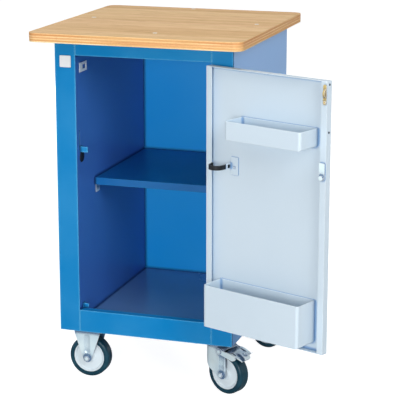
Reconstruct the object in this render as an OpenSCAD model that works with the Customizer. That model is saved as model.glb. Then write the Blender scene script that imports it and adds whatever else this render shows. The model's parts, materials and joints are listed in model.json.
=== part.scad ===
// Mobile tool cabinet: a double-walled sheet steel body on four casters, with a plywood worktop,
// one shelf and a hinged door that carries two trays, a tool clip and a cam lock.
// The door is drawn open, and the origin is on the floor under the middle of the whole outline.

/* [Body] */
// Width of the body over its side panels
body_w = 426; // [380:1:900]
// Depth of the body from the front face to the back panel
body_d = 460; // [400:1:700]
// Height of the body without worktop and casters
body_h = 697; // [600:1:900]
// Width of each hollow side, and of the post in front of it
side_w = 50; // [40:1:70]
// Thickness of the sheet steel
sheet_t = 1.5; // [1:0.1:2]
// Height of the front rail above the door
top_rail_h = 37; // [25:1:80]
// Height of the front rail below the door
bottom_rail_h = 53; // [45:1:90]
// Depth of the folds at the back of posts and rails
fold_d = 24; // [18:1:40]
// Height of the floor panel above the underside of the body
floor_h = 28; // [20:1:40]
// Thickness of the steel of the base channels
channel_t = 3; // [2:0.5:4]
// Width of each base channel
channel_w = 108; // [106:1:125]
// Joint between the front post and the side panel
seam_gap = 5; // [1:0.5:8]
// Gap between the inner walls and the back panel
wall_gap = 4; // [2:0.5:10]

/* [Worktop] */
// Thickness of the plywood worktop
top_t = 21; // [18:1:40]
// Overhang of the worktop in front of the body
top_front = 70; // [20:1:100]
// Overhang of the worktop at each side
top_side = 39; // [10:1:60]
// Radius of the worktop's corners
top_r = 22; // [5:1:40]
// Distance of the front screw from the middle
front_screw_x = 26; // [0:1:120]
// Distance of the front screw from the front face
front_screw_y = 13; // [8:1:30]
// Distance of the side screws from the front face
side_screw_y = 221; // [120:1:300]
// Distance of the side screws from the side panels
side_screw_in = 10; // [8:1:30]
// Length of the worktop screws
screw_l = 30; // [26:1:45]
// Diameter of the worktop screws
screw_d = 5; // [4:0.5:6]
// Diameter of the countersunk screw heads
screw_head_d = 11; // [9:0.5:12]

/* [Shelf] */
// Height of the shelf's top face above the underside of the body
shelf_h = 351; // [200:1:450]
// Distance of the shelf's front edge from the front face
shelf_in = 108; // [95:1:160]
// Height of the shelf's folded edges
shelf_fold_h = 17; // [12:1:30]
// Clearance of the shelf at each side
shelf_gap = 1.5; // [0.5:0.5:4]
// Length of each shelf clip
clip_l = 22; // [15:1:40]
// Height of each shelf clip
clip_h = 20; // [15:1:40]
// Width of the ledge of each shelf clip
clip_ledge = 12; // [8:1:18]

/* [Door] */
// Clearance between the door and the posts
door_gap = 2; // [1.5:0.5:4]
// Clearance between the door and the rails
door_gap_z = 3; // [2:0.5:6]
// Thickness of the door over its folded edges
door_t = 16.5; // [14:0.5:20]
// Width of the lips along the door's upright edges
door_lip = 15; // [10:1:20]
// Angle at which the door stands open
door_open = 159; // [0:1:180]
// Height of the lock above the underside of the body
lock_h = 450; // [400:1:500]
// Length of the lock cam from its axis
cam_l = 32; // [20:1:34]
// Width of the lock cam
cam_w = 14; // [10:1:16]
// Thickness of the lock cam
cam_t = 2.5; // [2:0.5:2.5]
// Distance of the lock's axis from the door's free edge
lock_in = 8.5; // [8:0.5:10]
// Diameter of the lock's head
lock_head_d = 16; // [12:1:16]
// Diameter of the lock barrel
barrel_d = 13; // [10:1:13]
// Diameter of the lock spindle
spindle_d = 6; // [4:0.5:7]
// Length of the catch on the door
catch_l = 44; // [35:1:60]
// Distance of the catch's upper end from the door's upper edge
catch_in = 7; // [5:1:300]

/* [Hinges] */
// Length of each hinge
hinge_l = 60; // [40:1:80]
// Distance of the outer hinges' middles from the door's ends
hinge_in = 62; // [45:1:100]
// Width of each hinge leaf from the pin's axis
leaf_w = 24; // [18:1:30]
// Thickness of the hinge leaves
leaf_t = 2; // [1.5:0.5:2.5]
// Radius of the hinge knuckles
knuckle_r = 5; // [4:0.5:6]
// Diameter of the hinge pins
hinge_pin_d = 6; // [4:0.5:6]
// Gap along the pin between two knuckles
knuckle_gap = 0.4; // [0.2:0.1:1]

/* [Trays] */
// Depth of the trays from the door's skin
tray_d = 66; // [40:1:72]
// Thickness of the tray steel
tray_t = 1.5; // [1:0.1:2]
// Width of the lower tray
lower_tray_w = 260; // [150:1:264]
// Height of the lower tray
lower_tray_h = 97; // [60:1:150]
// Height of the lower tray's underside above the door's lower edge
lower_tray_z = 19; // [5:1:60]
// Width of the upper tray
upper_tray_w = 202; // [100:1:215]
// Height of the upper tray
upper_tray_h = 41; // [25:1:80]
// Height of the upper tray's underside above the door's lower edge
upper_tray_z = 455; // [420:1:500]
// Outer bend radius of the trays' lower corners
tray_r = 6; // [4:0.5:10]
// Outer bend radius of the trays' front corners
tray_front_r = 7; // [3:0.5:12]

/* [Tool clip] */
// Inner diameter of the tool clip
tool_d = 30; // [20:1:32]
// Height of the tool clip's middle above the underside of the body
tool_h = 438; // [380:1:480]
// Distance of the clip's axis from the door's hinge edge
tool_in = 41; // [38:1:60]
// Distance of the clip's axis from the door's skin
tool_out = 30; // [26:1:34]
// Thickness of the clip's band
band_t = 3; // [2:0.5:4]
// Height of the clip's band
band_h = 10; // [8:1:16]

/* [Casters] */
// Diameter of the wheels
wheel_d = 100; // [80:1:110]
// Width of the tyres
tyre_w = 30; // [24:1:32]
// Diameter of the plastic rims
rim_d = 77; // [50:1:85]
// Distance of the wheels' tops from the body
wheel_gap = 28; // [26:1:50]
// Distance of the wheel's axle from the swivel's axis
trail = 36; // [30:1:40]
// Distance of the casters' axes from the side panels
caster_side_in = 54; // [54:1:70]
// Distance of the casters' axes from the front and back faces
caster_front_in = 58; // [50:1:90]
// Angle of the front swivel caster about its axis, as it stands
front_heading = -22.5; // [-180:0.5:180]
// Angle of the rear swivel caster about its axis, as it stands
rear_heading = -22.5; // [-180:0.5:180]
// Length of the casters' top plates
plate_l = 104; // [100:1:106]
// Width of the casters' top plates
plate_w = 84; // [80:1:90]
// Thickness of the caster steel
caster_t = 3; // [2.5:0.5:4]
// Half the width of the caster forks
fork_r = 26; // [25:0.5:28]
// Spacing of the caster bolts along the plate
bolt_sx = 80; // [76:1:84]
// Spacing of the caster bolts across the plate
bolt_sy = 60; // [58:1:68]
// Diameter of the caster bolts
bolt_d = 8; // [6:1:10]
// Diameter of the wheel axles
axle_d = 8; // [6:1:10]
// Diameter of the king pins
king_d = 12; // [10:1:13]
// Height of each swivel head between its plate and its fork
head_h = 11; // [10:0.5:13]
// Length of the brake pedals beyond the wheels' axles
pedal_l = 60; // [58:1:78]
// Diameter of the brake pins
brake_pin_d = 6; // [4:0.5:6]
// Number of balls in each swivel head
ball_n = 16; // [8:1:18]
// Diameter of the balls
ball_d = 5; // [4:0.5:5]

/* [Fittings] */
// Length of the keeper tab from the inner wall
keeper_l = 19; // [15:1:24]
// Height of the keeper tab
keeper_h = 13; // [10:1:20]
// Length of the stop tab from the inner wall
stop_l = 15; // [12:1:24]
// Height of the stop tab
stop_h = 10.5; // [8:0.5:20]
// Distance of the tabs behind the front face
tab_in = 20; // [20:0.5:26]
// Diameter of the rubber plug
plug_d = 25; // [15:1:30]
// Length of the catch plate on the post's side
catch_plate_l = 42; // [40:1:60]
// Height of the catch plate
catch_plate_h = 22; // [20:1:40]

/* [Hidden] */
$fn = 64;

running_fit = 0.05;
clearance = 0.3;
over = 1;

wheel_r = wheel_d / 2;
body_z0 = wheel_d + wheel_gap;
body_z1 = body_z0 + body_h;
top_z1 = body_z1 + top_t;
half_w = body_w / 2;
open_x = half_w - side_w;
open_z0 = body_z0 + bottom_rail_h;
open_z1 = body_z1 - top_rail_h;
floor_z = body_z0 + floor_h;
shelf_z = body_z0 + shelf_h;
channel_z1 = body_z0 + channel_t;
back_y = body_d - sheet_t;

door_x1 = open_x - door_gap;
door_x0 = -door_x1;
door_z0 = open_z0 + door_gap_z;
door_z1 = open_z1 - door_gap_z;
lock_x = door_x0 + lock_in;
lock_head_h = 2;
nut_r = 5.5;
nut_h = 4;
grip_h = 4;
grip_t = 5;
lock_z = body_z0 + lock_h;
keeper_z0 = lock_z - nut_r - clearance - keeper_h;
cam_y = door_t + 0.7;
catch_z = door_z1 - catch_in - catch_l / 2;
catch_x = door_x0 + 5.5;
catch_w = 9;
grip_w = 24;
cam_corner_r = 2;
tab_root = 14;
plug_h = 1.5;
catch_hole_l = 20;
catch_hole_h = 10;

pin_x = open_x + 1.5;
pin_y = -(knuckle_r + 0.5);
hinge_z = [door_z0 + hinge_in, (door_z0 + door_z1) / 2, door_z1 - hinge_in];
knuckle_l = (hinge_l - 2 * knuckle_gap) / 3;

tray_x0 = -lower_tray_w / 2;
tray_y0 = sheet_t;
tray_y1 = sheet_t + tray_d;
tool_x = door_x1 - tool_in;
tool_y = sheet_t + tool_out;
tool_z = body_z0 + tool_h;
tool_r = tool_d / 2;
web_x = tool_x - tool_r - band_t;
web_l = 18.5;
web_h = 14;
foot_w = 20;
foot_h = 40;
hole_l = 11;
hole_h = 8;

rim_r = rim_d / 2;
hub_w = 34;
axle_z = wheel_r - body_z0;
axle_r = axle_d / 2;
eye_r = axle_r + 7;
bolt_r = bolt_d / 2;
head_r = 0.875 * bolt_d;
fork_in = fork_r - caster_t;
head_top = -caster_t;
head_low = head_top - head_h;
bridge_low = head_low - caster_t;
nose_r = fork_r - 3;
side_spread = 6;
race_r = nose_r - caster_t;
ball_z = (head_top + head_low) / 2 - clearance;
king_r = king_d / 2;
swivel_x = half_w - caster_side_in;
rear_y = body_d - caster_front_in;
brake_r = brake_pin_d / 2;
brake_x = trail - 6;
brake_z = bridge_low - 4.5;
wing_y = fork_r + 0.7;
wing_t = 2;
wing_l = 47;
tread_t = 2.5;
tongue_w = 20;
slot_l = 17;
slot_w = 6;
bead_w = 16;
bead_depth = 2;
bead_r = (bead_w * bead_w / 4 + bead_depth * bead_depth) / (2 * bead_depth);
bead_z0 = axle_z + eye_r + bead_w / 2;
pedal_x1 = trail + pedal_l;

cone_h = (screw_head_d - screw_d) / 2;
sink_gap = 0.15;

// The open door's outermost points set the middle of the outline
function swung(p) = [pin_x + (p[0] - pin_x) * cos(door_open) - (p[1] - pin_y) * sin(door_open),
    pin_y + (p[0] - pin_x) * sin(door_open) + (p[1] - pin_y) * cos(door_open)];
door_corners = [swung([door_x0, 0]), swung([door_x0, door_t]), swung([tray_x0, tray_y1]),
    swung([-tray_x0, tray_y1]), swung([door_x1, 0]), swung([lock_x - lock_head_d / 2, -lock_head_h]),
    swung([lock_x - grip_t / 2, -lock_head_h - grip_h])];
top_x = half_w + top_side;
x_max = max(top_x, max([for (c = door_corners) c[0]]));
x_min = min(-top_x, min([for (c = door_corners) c[0]]));
y_min = min(-top_front, min([for (c = door_corners) c[1]]));
screw_places = [[front_screw_x, front_screw_y], [half_w - side_screw_in, side_screw_y],
    [-half_w + side_screw_in, side_screw_y], [-front_screw_x, body_d - front_screw_y]];
middle_x = (x_min + x_max) / 2;
middle_y = (y_min + body_d) / 2;

blue = [0.05, 0.47, 0.74];
light_blue = [0.32, 0.50, 0.70];
dark_blue = [0.12, 0.28, 0.55];
pale = [0.80, 0.86, 0.92];
zinc = [0.72, 0.75, 0.78];
brass = [0.82, 0.72, 0.42];
black = [0.08, 0.09, 0.10];
tyre_grey = [0.12, 0.17, 0.20];
rim_grey = [0.82, 0.85, 0.88];
plywood = [0.83, 0.70, 0.53];

module in_frame() {
    translate([-middle_x, -middle_y, 0]) children();
}

// Draws the door's pieces in their closed place and swings them open about the hinge pin
module on_door() {
    in_frame() translate([pin_x, pin_y, 0]) rotate(door_open) translate([-pin_x, -pin_y, 0]) children();
}

// A box given by two corners
module block(low, high) {
    translate(low) cube(high - low);
}

module left_right() {
    children();
    mirror([1, 0, 0]) children();
}

// A flat plate with round corners, lying in the plane of its first two sizes
module round_plate(w, d, h, r) {
    linear_extrude(h) round_outline(w, d, r);
}

module round_outline(w, d, r) {
    square([w - 2 * r, d], center = true);
    square([w, d - 2 * r], center = true);
    for (x = [-1, 1], y = [-1, 1]) translate([x * (w / 2 - r), y * (d / 2 - r)]) circle(r);
}

// Turns a shape drawn in the plane of x and y so that it faces the front, y becoming the height
module upright() {
    rotate([90, 0, 0]) children();
}

module side_panel() {
    block([half_w - sheet_t, sheet_t + seam_gap, body_z0], [half_w, body_d, body_z1]);
}

// The left wall and post have a slot that takes the lock cam as it turns down from its upright place
module cam_slot() {
    slot_gap = 1.5;
    block([-open_x - 2 * sheet_t - over, cam_y - slot_gap, lock_z - cam_w / 2 - slot_gap],
        [-open_x + over, cam_y + cam_t + slot_gap, lock_z + cam_l + slot_gap]);
}

module inner_wall() {
    block([open_x, sheet_t, channel_z1], [open_x + sheet_t, back_y - wall_gap, body_z1 - sheet_t]);
}

module front_post() {
    block([open_x, 0, body_z0], [half_w, sheet_t, body_z1]);
    for (x = [open_x + sheet_t, half_w - 2 * sheet_t])
        block([x, sheet_t, channel_z1], [x + sheet_t, sheet_t + fold_d, body_z1 - sheet_t]);
}

module rear_post() {
    block([open_x + sheet_t, back_y - sheet_t, channel_z1],
        [half_w - sheet_t, back_y, body_z1 - sheet_t]);
    for (x = [open_x + sheet_t, half_w - 2 * sheet_t])
        block([x, back_y - fold_d, channel_z1], [x + sheet_t, back_y - sheet_t, body_z1 - sheet_t]);
}

module side_panel_left() {
    color(light_blue) in_frame() mirror([1, 0, 0]) side_panel();
}

module side_panel_right() {
    color(light_blue) in_frame() side_panel();
}

module inner_wall_left() {
    color(dark_blue) in_frame() difference() {
        mirror([1, 0, 0]) inner_wall();
        cam_slot();
    }
}

module inner_wall_right() {
    color(dark_blue) in_frame() inner_wall();
}

module back_panel() {
    color(blue) in_frame()
        block([-half_w + sheet_t, back_y, body_z0], [half_w - sheet_t, body_d, body_z1]);
}

module front_post_left() {
    color(blue) in_frame() difference() {
        mirror([1, 0, 0]) front_post();
        cam_slot();
    }
}

module front_post_right() {
    color(blue) in_frame() front_post();
}

module rear_posts() {
    color(blue) in_frame() left_right() rear_post();
}

module top_rail() {
    color(blue) in_frame() {
        block([-open_x, 0, open_z1], [open_x, sheet_t, body_z1]);
        block([-open_x, sheet_t, open_z1], [open_x, sheet_t + fold_d, open_z1 + sheet_t]);
        block([-open_x, fold_d, open_z1 + sheet_t], [open_x, sheet_t + fold_d, open_z1 + fold_d / 2]);
    }
}

module bottom_rail() {
    rail_fold = fold_d - 6;
    color(blue) in_frame() {
        block([-open_x, 0, body_z0], [open_x, sheet_t, open_z0]);
        block([-open_x, sheet_t, open_z0 - sheet_t], [open_x, sheet_t + rail_fold, open_z0]);
        block([-open_x, rail_fold, open_z0 - fold_d / 2],
            [open_x, sheet_t + rail_fold, open_z0 - sheet_t]);
    }
}

module roof_panel() {
    color(blue) in_frame() difference() {
        block([-half_w + sheet_t, sheet_t, body_z1 - sheet_t], [half_w - sheet_t, back_y, body_z1]);
        for (p = screw_places) translate([p[0], p[1], body_z1 - sheet_t - over])
            cylinder(r = screw_d / 2 + running_fit, h = sheet_t + 2 * over);
    }
}

module floor_panel() {
    color(dark_blue) in_frame()
        block([-open_x, sheet_t, floor_z - sheet_t], [open_x, back_y, floor_z]);
}

// Each channel is a flat web that takes the caster plates, with two upright legs under the floor
module base_channels() {
    x0 = half_w - sheet_t - channel_w;
    color(dark_blue) in_frame() left_right() difference() {
        union() {
            block([x0, sheet_t, body_z0], [half_w - sheet_t, back_y, channel_z1]);
            for (x = [x0, open_x - channel_t])
                block([x, sheet_t, channel_z1], [x + channel_t, back_y, floor_z - sheet_t]);
        }
        for (y = [caster_front_in, rear_y]) translate([swivel_x, y, body_z0])
            bolt_pattern() translate([0, 0, -over])
                cylinder(r = bolt_r + running_fit, h = channel_t + 2 * over);
    }
}

module worktop() {
    depth = top_front + body_d;
    color(plywood) in_frame() difference() {
        translate([0, body_d - depth / 2, body_z1]) round_plate(2 * top_x, depth, top_t, top_r);
        for (p = screw_places) translate([p[0], p[1], body_z1]) {
            translate([0, 0, -over]) cylinder(r = screw_d / 2 + sink_gap, h = top_t + 2 * over);
            translate([0, 0, top_t - cone_h])
                cylinder(r1 = screw_d / 2 + sink_gap, r2 = screw_head_d / 2 + sink_gap + over,
                    h = cone_h + over);
        }
    }
}

module worktop_screws() {
    color(zinc) in_frame() for (p = screw_places) translate([p[0], p[1], top_z1 - running_fit]) {
        translate([0, 0, -screw_l]) cylinder(r = screw_d / 2, h = screw_l - cone_h);
        translate([0, 0, -cone_h]) cylinder(r1 = screw_d / 2, r2 = screw_head_d / 2, h = cone_h);
    }
}

module shelf() {
    x = open_x - shelf_gap;
    y1 = back_y - wall_gap;
    z0 = shelf_z - shelf_fold_h;
    color(light_blue) in_frame() {
        block([-x, shelf_in, shelf_z - sheet_t], [x, y1, shelf_z]);
        for (y = [shelf_in, y1 - sheet_t]) block([-x, y, z0], [x, y + sheet_t, shelf_z - sheet_t]);
        for (s = [-x, x - sheet_t])
            block([s, shelf_in + sheet_t, z0], [s + sheet_t, y1 - sheet_t, shelf_z - sheet_t]);
    }
}

module shelf_clips() {
    z = shelf_z - shelf_fold_h;
    color(zinc) in_frame() left_right() for (y = [shelf_in + 6, back_y - wall_gap - 12 - clip_l]) {
        block([open_x - sheet_t, y, z - clip_h], [open_x, y + clip_l, z]);
        block([open_x - clip_ledge, y, z - sheet_t], [open_x - sheet_t, y + clip_l, z]);
    }
}

// An angle on the left inner wall: the tab faces the front and its root lies on the wall
module wall_tab(z, l, h) {
    block([-open_x, tab_in, z], [-open_x + l, tab_in + sheet_t, z + h]);
    block([-open_x, tab_in + sheet_t, z], [-open_x + sheet_t, tab_in + tab_root, z + h]);
}

module keeper_tab() {
    color(blue) in_frame() wall_tab(keeper_z0, keeper_l, keeper_h);
}

module stop_tab() {
    color(blue) in_frame() wall_tab(open_z0 + 0.5, stop_l, stop_h);
}

module rubber_plug() {
    color(black) in_frame() translate([-open_x, tab_in + plug_d / 2 - 2, keeper_z0 - clearance - plug_d / 2])
        rotate([0, 90, 0]) rotate_extrude() polygon([[0, 0], [plug_d / 2, 0], [plug_d / 2, plug_h / 2],
            [plug_d / 2 - plug_h / 2, plug_h], [0, plug_h]]);
}

module catch_plate() {
    y0 = tab_in + 5;
    z0 = catch_z - catch_plate_h / 2;
    color(zinc) in_frame() difference() {
        block([-open_x, y0, z0], [-open_x + sheet_t, y0 + catch_plate_l, z0 + catch_plate_h]);
        block([-open_x - over, y0 + catch_hole_l - 4, catch_z - catch_hole_h / 2],
            [-open_x + sheet_t + over, y0 + 2 * catch_hole_l - 4, catch_z + catch_hole_h / 2]);
    }
}

// One knuckle of a hinge, with its bore
module knuckle(z, l, bore) {
    translate([pin_x, pin_y, z]) difference() {
        cylinder(r = knuckle_r, h = l);
        translate([0, 0, -over]) cylinder(r = bore, h = l + 2 * over);
    }
}

module hinge_leaves_body() {
    color(zinc) in_frame() for (c = hinge_z) {
        z = c - hinge_l / 2;
        difference() {
            union() {
                block([pin_x, -leaf_t, z], [pin_x + leaf_w, 0, z + hinge_l]);
                for (k = [z, z + hinge_l - knuckle_l]) translate([pin_x, pin_y, k])
                    cylinder(r = knuckle_r, h = knuckle_l);
            }
            translate([pin_x, pin_y, z - over]) cylinder(r = hinge_pin_d / 2, h = hinge_l + 2 * over);
            block([pin_x - over, -leaf_t - over, z + knuckle_l],
                [pin_x + knuckle_r + 1.5, over, z + hinge_l - knuckle_l]);
        }
    }
}

module hinge_pins() {
    color(zinc) in_frame() for (c = hinge_z) translate([pin_x, pin_y, c - hinge_l / 2 - 2]) {
        cylinder(r = hinge_pin_d / 2, h = hinge_l + 2);
        cylinder(r = knuckle_r - 0.5, h = 2);
    }
}

module hinge_leaves_door() {
    x0 = pin_x - leaf_w - 3;
    x1 = pin_x - 2.5;
    color(zinc) on_door() for (c = hinge_z) {
        z = c - knuckle_l / 2;
        difference() {
            union() {
                block([x0, -leaf_t, z], [x1, 0, z + knuckle_l]);
                block([x0, -leaf_t, c - hinge_l / 2], [x1 - knuckle_r, 0, c + hinge_l / 2]);
                translate([pin_x, pin_y, z]) cylinder(r = knuckle_r, h = knuckle_l);
            }
            translate([pin_x, pin_y, z - over])
                cylinder(r = hinge_pin_d / 2 + running_fit, h = knuckle_l + 2 * over);
        }
    }
}

// The door is a pan: a skin with folded edges all round and lips along its upright edges
module door_panel() {
    color(pale) on_door() difference() {
        union() {
            block([door_x0, 0, door_z0], [door_x1, sheet_t, door_z1]);
            for (x = [door_x0, door_x1 - sheet_t])
                block([x, sheet_t, door_z0], [x + sheet_t, door_t, door_z1]);
            for (z = [door_z0, door_z1 - sheet_t])
                block([door_x0 + sheet_t, sheet_t, z], [door_x1 - sheet_t, door_t, z + sheet_t]);
            for (x = [door_x0 + sheet_t, door_x1 - door_lip])
                block([x, door_t - sheet_t, door_z0 + sheet_t],
                    [x + door_lip - sheet_t, door_t, door_z1 - sheet_t]);
        }
        translate([lock_x, -over, lock_z]) rotate([-90, 0, 0])
            cylinder(r = barrel_d / 2, h = sheet_t + 2 * over);
        translate([lock_x, door_t - sheet_t - over, lock_z]) rotate([-90, 0, 0])
            cylinder(r = spindle_d / 2 + 1, h = sheet_t + 2 * over);
    }
}

// The inside or the outside of a tray, w wide and h high, shrunk by t all round
module tray_body(w, h, t) {
    r = tray_r - t;
    fr = tray_front_r - t;
    intersection() {
        translate([0, tray_y1 - t, 0]) upright() linear_extrude(tray_d - 2 * t) {
            translate([t + r, t]) square([w - 2 * t - 2 * r, h + (t > 0 ? over : 0) - t]);
            translate([t, t + r]) square([w - 2 * t, h + (t > 0 ? over : 0) - t - r]);
            for (x = [t + r, w - t - r]) translate([x, t + r]) circle(r);
        }
        translate([0, 0, -over]) linear_extrude(h + 3 * over) {
            translate([t, tray_y0 + t]) square([w - 2 * t, tray_d - 2 * t - fr]);
            translate([t + fr, tray_y0 + t]) square([w - 2 * t - 2 * fr, tray_d - 2 * t]);
            for (x = [t + fr, w - t - fr]) translate([x, tray_y1 - t - fr]) circle(fr);
        }
    }
}

module tray(w, h) {
    difference() {
        tray_body(w, h, 0);
        tray_body(w, h, tray_t);
    }
}

module lower_tray() {
    color(pale) on_door() translate([tray_x0, 0, door_z0 + lower_tray_z]) tray(lower_tray_w, lower_tray_h);
}

module upper_tray() {
    color(pale) on_door() translate([tray_x0, 0, door_z0 + upper_tray_z]) tray(upper_tray_w, upper_tray_h);
}

// An angle: a foot on the door's skin, and a web with a square hole that carries the band
module clip_bracket() {
    hole_y = 3 * sheet_t + 1;
    color(pale) on_door() difference() {
        union() {
            block([web_x - foot_w, sheet_t, tool_z - foot_h / 2], [web_x, 2 * sheet_t, tool_z + foot_h / 2]);
            block([web_x - sheet_t, 2 * sheet_t, tool_z - web_h / 2],
                [web_x, 2 * sheet_t + web_l, tool_z + web_h / 2]);
        }
        block([web_x - sheet_t - over, hole_y, tool_z - hole_h / 2],
            [web_x + over, hole_y + hole_l, tool_z + hole_h / 2]);
    }
}

// The band lies on the bracket's web and bends round the tool, open towards the door
module tool_clip() {
    leg_l = tool_y - 3 * sheet_t - 3;
    hook_l = 7;
    color(black) on_door() translate([tool_x, tool_y, tool_z - band_h / 2]) linear_extrude(band_h) {
        difference() {
            circle(tool_r + band_t);
            circle(tool_r);
            translate([-tool_d, -2 * tool_d]) square(2 * tool_d);
        }
        translate([-tool_r - band_t, -leg_l]) square([band_t, leg_l]);
        translate([tool_r, -hook_l]) square([band_t, hook_l]);
        translate([tool_r + band_t, -hook_l]) circle(band_t);
    }
}

module door_catch() {
    color(brass) on_door() translate([catch_x, door_t, catch_z]) {
        rotate([-90, 0, 0]) round_plate(catch_w, catch_l, sheet_t, catch_w / 2 - 0.1);
        translate([-2.5, 0, 0]) rotate([90, 0, 90]) linear_extrude(5)
            polygon([[sheet_t, -6], [sheet_t + 4, -3], [sheet_t + 5.5, 2], [sheet_t + 4, 8], [sheet_t, 12]]);
        translate([0, sheet_t, -catch_l / 2 + 6]) rotate([-90, 0, 0]) cylinder(r = 3.2, h = 1.2);
    }
}

// The fixed part of the lock: a round head outside and a barrel up to the lip
module lock_barrel() {
    color(zinc) on_door() translate([lock_x, 0, lock_z]) rotate([-90, 0, 0]) difference() {
        union() {
            translate([0, 0, -lock_head_h]) cylinder(r = lock_head_d / 2, h = lock_head_h);
            cylinder(r = barrel_d / 2, h = door_t - sheet_t);
        }
        translate([0, 0, -lock_head_h - over]) cylinder(r = spindle_d / 2 + running_fit, h = door_t + 6);
    }
}

// The turning part outside: a wing grip on the spindle that carries the cam
module lock_knob() {
    color(black) on_door() translate([lock_x, 0, lock_z]) rotate([-90, 0, 0]) {
        translate([0, 0, -lock_head_h - grip_h]) linear_extrude(grip_h - clearance) {
            square([grip_t, grip_w - grip_t], center = true);
            for (y = [-1, 1]) translate([0, y * (grip_w - grip_t) / 2]) circle(grip_t / 2);
        }
        translate([0, 0, -lock_head_h - 1]) cylinder(r = spindle_d / 2, h = lock_head_h + 1 + cam_y + cam_t);
    }
}

module lock_cam() {
    color(zinc) on_door() translate([lock_x, cam_y + cam_t, lock_z]) upright() {
        linear_extrude(cam_t) difference() {
            union() {
                circle(cam_w / 2);
                translate([-cam_w / 2, 0]) square([cam_w, cam_l - cam_corner_r]);
                translate([-cam_w / 2 + cam_corner_r, 0]) square([cam_w - 2 * cam_corner_r, cam_l]);
                for (x = [-1, 1]) translate([x * (cam_w / 2 - cam_corner_r), cam_l - cam_corner_r])
                    circle(cam_corner_r);
            }
            circle(spindle_d / 2);
        }
        translate([0, 0, -nut_h]) cylinder(r = nut_r, h = nut_h, $fn = 6);
    }
}

// Caster pieces are drawn about the swivel's axis, with the underside of the body at zero height
module at_front_swivel() {
    in_frame() translate([swivel_x, caster_front_in, body_z0]) rotate(front_heading) children();
}

module at_rear_swivel() {
    in_frame() translate([swivel_x, rear_y, body_z0]) rotate(rear_heading) children();
}

module at_front_fixed() {
    in_frame() translate([-swivel_x, caster_front_in, body_z0]) children();
}

module at_rear_fixed() {
    in_frame() translate([-swivel_x, rear_y, body_z0]) children();
}

module bolt_pattern() {
    for (x = [-1, 1], y = [-1, 1]) translate([x * bolt_sx / 2, y * bolt_sy / 2, 0]) children();
}

module top_plate() {
    translate([0, 0, -caster_t]) difference() {
        round_plate(plate_l, plate_w, caster_t, 8);
        bolt_pattern() translate([0, 0, -over]) cylinder(r = bolt_r + running_fit, h = caster_t + 2 * over);
    }
}

// The upper raceway is pressed out of the plate, with a groove for the balls
module swivel_plate() {
    top_plate();
    difference() {
        translate([0, 0, ball_z + 1]) cylinder(r = race_r + 7, h = head_top - ball_z - 1);
        translate([0, 0, ball_z]) ball_groove();
        translate([0, 0, head_low]) cylinder(r = king_r + 4, h = head_top - head_low);
    }
}

module ball_groove() {
    rotate_extrude() translate([race_r, 0]) circle(ball_d / 2 + clearance, $fn = 32);
}

module caster_plates() {
    color(zinc) in_frame() for (y = [caster_front_in, rear_y]) translate([swivel_x, y, body_z0])
        swivel_plate();
}

module king_pins() {
    color(zinc) in_frame() for (y = [caster_front_in, rear_y]) translate([swivel_x, y, body_z0]) {
        translate([0, 0, bridge_low - 0.5]) cylinder(r = king_r, h = head_top - bridge_low + 0.5);
        translate([0, 0, bridge_low - 3.5]) cylinder(r1 = king_r + 1, r2 = king_r + 3, h = 3.2);
    }
}

module swivel_balls() {
    color(zinc) in_frame() for (y = [caster_front_in, rear_y]) translate([swivel_x, y, body_z0])
        for (i = [0:ball_n - 1]) rotate(i * 360 / ball_n) translate([race_r, 0, ball_z])
            sphere(d = ball_d, $fn = 24);
}

// A hexagon across the corners, in the proportion of a standard bolt head or nut
module hexagon(d, h) {
    cylinder(r = 0.875 * d, h = h, $fn = 6);
}

module caster_bolts() {
    head = 0.66 * bolt_d;
    color(zinc) in_frame() left_right() for (y = [caster_front_in, rear_y])
        translate([swivel_x, y, body_z0]) bolt_pattern() {
            translate([0, 0, -caster_t]) cylinder(r = bolt_r, h = caster_t + channel_t + bolt_d);
            translate([0, 0, -caster_t - head]) hexagon(bolt_d, head);
            translate([0, 0, channel_t]) hexagon(bolt_d, 0.8 * bolt_d);
        }
}

// The side view of a swivel fork: wide at the head, swept back to a round eye at the axle
module fork_outline(eye) {
    difference() {
        union() {
            polygon([[-nose_r - 1, head_low], [-nose_r - 1, head_low - 16], [-nose_r + 9, axle_z + 20],
                [-nose_r + 17, axle_z + 10], [trail - 9, axle_z - 9], [trail + 6, axle_z - 9],
                [trail + eye_r, axle_z], [trail + eye_r, head_low - 8], [trail + 4, head_low]]);
            translate([trail, axle_z]) circle(eye_r);
        }
        translate([trail, axle_z]) circle(eye);
    }
}

// The fork is a bent shell: a bridge under the swivel head, a round nose and two beaded legs
module swivel_fork() {
    bead_z1 = brake_z - brake_r - 2 - bead_w / 2;
    difference() {
        union() {
            intersection() {
                translate([0, 0, axle_z - 12]) linear_extrude(head_low - axle_z + 12) fork_plan(0);
                translate([0, fork_r + over, 0]) upright() linear_extrude(2 * fork_r + 2 * over)
                    fork_outline(axle_r + running_fit);
            }
            translate([0, 0, head_low]) cylinder(r = race_r + 5, h = ball_z - 1 - head_low);
        }
        difference() {
            intersection() {
                translate([0, 0, axle_z - 20]) linear_extrude(bridge_low - axle_z + 20) fork_plan(caster_t);
                block([-2 * fork_r, -fork_r, axle_z - 20], [3 * fork_r, fork_r, bridge_low]);
            }
            leg_beads(trail, bead_z1, bead_r + caster_t);
        }
        leg_beads(trail, bead_z1, bead_r);
        translate([0, 0, ball_z]) ball_groove();
        translate([0, 0, bridge_low - over]) cylinder(r = king_r + running_fit, h = 20);
        translate([brake_x, fork_r + over, brake_z]) upright()
            cylinder(r = brake_r, h = 2 * fork_r + 2 * over);
    }
}

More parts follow.
